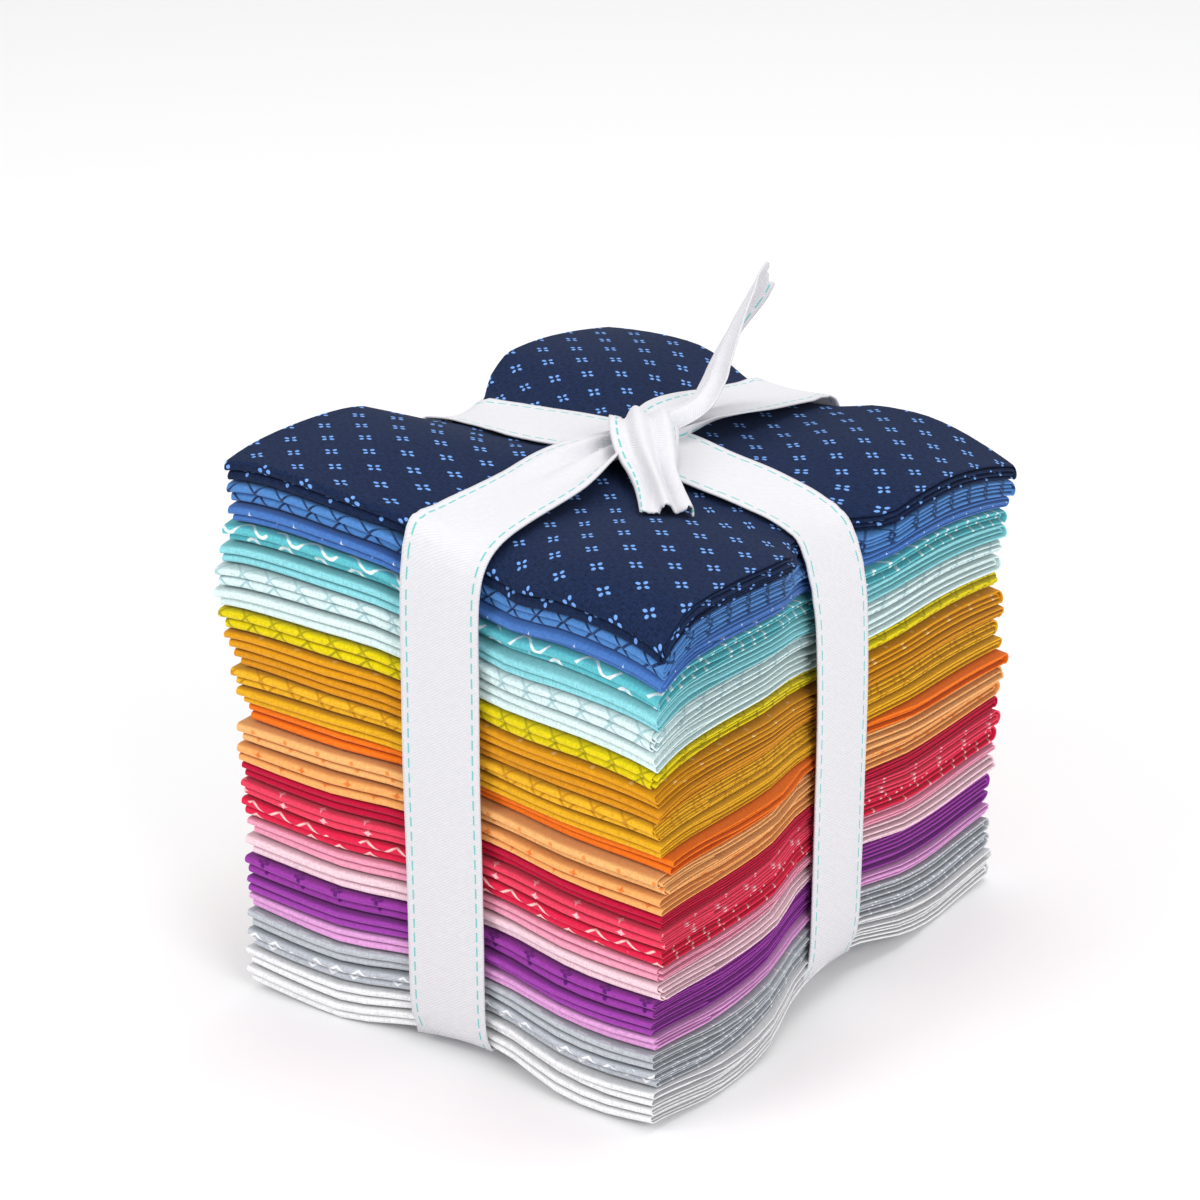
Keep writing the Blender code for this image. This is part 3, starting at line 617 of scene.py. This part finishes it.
def tape_length(name, rows, side, closed=False, frayed=0.0):
    """A length of tape: at each point of its way, an arc with pleats that is as long as the tape is wide.

    The curl in degrees says how narrow the tape is drawn together: as narrow as a plain arc of that
    angle would be. An arc of 0.4 of it takes up some of the width, and sine pleats the rest. Turn
    rolls the arc about the way. A side of None keeps the width level. It is laid clear of the cloths.
    """
    way, length = smooth_way(rows, closed, TAPE_STEP)
    centre, turn, curl = way[:, :3], np.radians(way[:, 3]), np.radians(np.maximum(way[:, 4], 1))
    if closed:
        ahead = unit(np.roll(np.concatenate((centre[:-1], centre[:1])), -1, 0)[: len(centre)] - np.roll(centre, 1, 0))
        ahead[0] = ahead[-1] = unit(centre[1] - centre[-2])
    else:
        ahead = unit(np.gradient(centre, axis=0))
    level = np.broadcast_to(side, centre.shape) if side is not None else np.cross(ahead, (0, 0, 1))
    level = unit(level - (level * ahead).sum(1, keepdims=True) * ahead)
    out = np.cross(level, ahead)
    level, out = (
        level * np.cos(turn)[:, None] + out * np.sin(turn)[:, None],
        out * np.cos(turn)[:, None] - level * np.sin(turn)[:, None],
    )
    across = np.linspace(-0.5, 0.5, 33)
    narrowed = np.sin(curl / 2) / (curl / 2)
    arc = 0.4 * curl
    radius = (narrowed * TAPE_WIDTH / 2 / np.sin(arc / 2))[:, None]
    angle = arc[:, None] * across
    pleated = np.sin(arc / 2) / (arc / 2) / narrowed
    pleat = narrowed * TAPE_WIDTH / PLEATS / (2 * math.pi) * np.sqrt(2 * (pleated**2 - 1).clip(0))
    fold = pleat[:, None] * np.sin(2 * math.pi * PLEATS * across + 0.03 * length[:, None] + len(name))
    sideways = ((radius + fold) * np.sin(angle))[..., None]
    sunk = (radius * (np.cos(angle) - np.cos(arc / 3)[:, None]) + fold * np.cos(angle))[..., None]
    points = centre[:, None] + level[:, None] * sideways + out[:, None] * sunk
    if frayed:
        chance = np.random.default_rng(7)
        points[-1] += ahead[-1] * chance.uniform(-frayed, frayed, (len(across), 1))
    x, y, z = points[..., 0], points[..., 1], points[..., 2]
    room = TAPE_THICK / 2 + 0.25
    front = -HALF_Y - 1.8 + drawn_in(x, *DRAWN["front"], 0.98)
    back = HALF_Y + 1.8 - drawn_in(x, *DRAWN["back"], 0.98)
    left = -HALF_X - 1.8 + drawn_in(y, *DRAWN["left"], 0.98)
    right = HALF_X + 1.8 - drawn_in(y, *DRAWN["right"], 0.98)
    on_top = (x > left) & (x < right) & (y > front) & (y < back) & (z > 100)
    raised = np.where(on_top, np.maximum(stack_height(x, y, 1) + room - z, 0), 0)
    for reach in range(1, 4):
        fading = 1 - (reach / 4) ** 2
        raised = np.maximum(raised, fading * np.maximum(np.roll(raised, reach, 0), np.roll(raised, -reach, 0)))
    z = z + raised * (z > 100)
    beneath = (abs(x) < HALF_X - 4) & (abs(y) < HALF_Y - 3) & (z < 40)
    z = np.where(beneath, np.minimum(z, stack_height(x, y, 0) - room), z)
    points = np.stack((x, y, z), -1)
    made = sheet_mesh(name, points, (across * TAPE_WIDTH)[None, :], length[:, None])
    thick = made.modifiers.new("thickness", "SOLIDIFY")
    thick.thickness = TAPE_THICK * MM
    thick.offset = 0
    return made, length[-1]


def twill_tape():
    """White cotton twill: slanting ribs, and a running stitch 2 mm inside each edge."""
    material = bpy.data.materials.new("cotton_tape")
    material.use_nodes = True
    tree = material.node_tree
    shader = tree.nodes["Principled BSDF"]
    start = Shade(tree, None)
    flat = start.node("ShaderNodeUVMap", {"uv_map": "flat cut"})
    u = flat.node("ShaderNodeSeparateXYZ", None, {0: flat}, 0) * 1000
    v = flat.node("ShaderNodeSeparateXYZ", None, {0: flat}, 1) * 1000
    place = u.node("ShaderNodeCombineXYZ", None, {0: u, 1: v})
    cloudy = place.node("ShaderNodeTexNoise", None, {"Vector": place, "Scale": 0.6, "Detail": 3})
    ribs = ((u * 0.9 + v * 1.3) * (2 * math.pi / 1.1)).wave()
    line = abs(abs(u) - 10.6).below(0.26, 0.2)
    stitch = abs((v + u * 0.1).from_middle(4.4, 0)).below(1.45, 0.3) * line
    selvedge = abs(u).below(12.1, 0.5)
    colour = cloudy.mix(linear("#DBDADF"), linear("#E6E5E8"))
    colour = (ribs * 0.09 + 0.09).mix(colour, linear("#A6A5B2"))
    colour = stitch.mix(colour, linear("#6CC3C1"))
    tree.links.new(colour.output, shader.inputs["Base Color"])
    height = ribs * 0.5 + cloudy * 0.5 + selvedge * 0.8 - stitch * 0.8
    bump = height.node("ShaderNodeBump", None, {"Strength": 0.4, "Distance": 0.00012, "Height": height})
    tree.links.new(bump.output, shader.inputs["Normal"])
    shader.inputs["Roughness"].default_value = 0.75
    shader.inputs["Sheen Weight"].default_value = 0.2
    shader.inputs["Specular IOR Level"].default_value = 0.3
    return material


tape_finish = twill_tape()
TAPE_PIECES = (
    ("front_back_tape", FRONT_BACK_WAY, (1, 0, 0), True, 0, "cloth_navy_foulard"),
    ("left_right_tape", LEFT_RIGHT_WAY, (0, -1, 0), True, 0, "cloth_navy_foulard"),
    ("knot_and_short_end", WRAP_WAY, None, False, 0.7, "front_back_tape"),
    ("knot_and_long_end", LONG_WAY, None, False, 0.7, "front_back_tape"),
)
for name, way, side, closed, frayed, under in TAPE_PIECES:
    piece, length = tape_length(name, way, side, closed, frayed)
    piece.data.materials.append(tape_finish)
    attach(piece, "root")
    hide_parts("tie_tape")


# ---------------------------------------------------------------- the studio
# A plain pale floor, soft light from all round, and three broad lights: over the left shoulder
# of the camera, from the right and from above.

floor_mesh = bpy.data.meshes.new("floor")
floor_mesh.from_pydata([(-4, -4, 0), (4, -4, 0), (4, 4, 0), (-4, 4, 0)], [], [(0, 1, 2, 3)])
floor = bpy.data.objects.new("floor", floor_mesh)
bpy.context.scene.collection.objects.link(floor)
floor_finish = bpy.data.materials.new("pale_floor")
floor_finish.use_nodes = True
floor_finish.node_tree.nodes["Principled BSDF"].inputs["Base Color"].default_value = (0.93, 0.93, 0.935, 1)
floor_finish.node_tree.nodes["Principled BSDF"].inputs["Roughness"].default_value = 0.9
floor_mesh.materials.append(floor_finish)

world = bpy.data.worlds.new("studio")
bpy.context.scene.world = world
world.use_nodes = True
world.node_tree.nodes["Background"].inputs["Color"].default_value = (1, 1, 1, 1)
world.node_tree.nodes["Background"].inputs["Strength"].default_value = 0.64

for light_name, place, energy, size in (
    ("left_light", (-0.8, -1.5, 1.4), 13, 1.0),
    ("right_light", (1.6, -0.7, 1.0), 13, 1.0),
    ("top_light", (0.1, 0.4, 1.8), 12, 1.2),
):
    lamp = bpy.data.lights.new(light_name, "AREA")
    lamp.energy = energy
    lamp.size = size
    holder = bpy.data.objects.new(light_name, lamp)
    holder.location = place
    aim = np.array((0, 0, 0.08)) - np.array(place)
    holder.rotation_euler = (math.atan2(math.hypot(aim[0], aim[1]), -aim[2]), 0, math.atan2(-aim[0], aim[1]))
    bpy.context.scene.collection.objects.link(holder)

# The camera of the photograph, from the fitted yaw, height and distance
CAMERA_YAW = math.radians(34.83)
CAMERA_RISE = math.radians(25.5)
CAMERA_AWAY = 1.1
lens = bpy.data.cameras.new("camera")
lens.lens = 3881.5 / 1200 * 36
lens.sensor_width = 36
lens.shift_x = -33.9 / 1200
lens.shift_y = 129.6 / 1200
camera = bpy.data.objects.new("camera", lens)
camera.location = (
    CAMERA_AWAY * math.sin(CAMERA_YAW) * math.cos(CAMERA_RISE),
    -CAMERA_AWAY * math.cos(CAMERA_YAW) * math.cos(CAMERA_RISE),
    0.065 + CAMERA_AWAY * math.sin(CAMERA_RISE),
)
camera.rotation_euler = (math.pi / 2 - CAMERA_RISE, 0, CAMERA_YAW)
bpy.context.scene.collection.objects.link(camera)
bpy.context.scene.camera = camera
bpy.context.scene.view_settings.view_transform = "Standard"
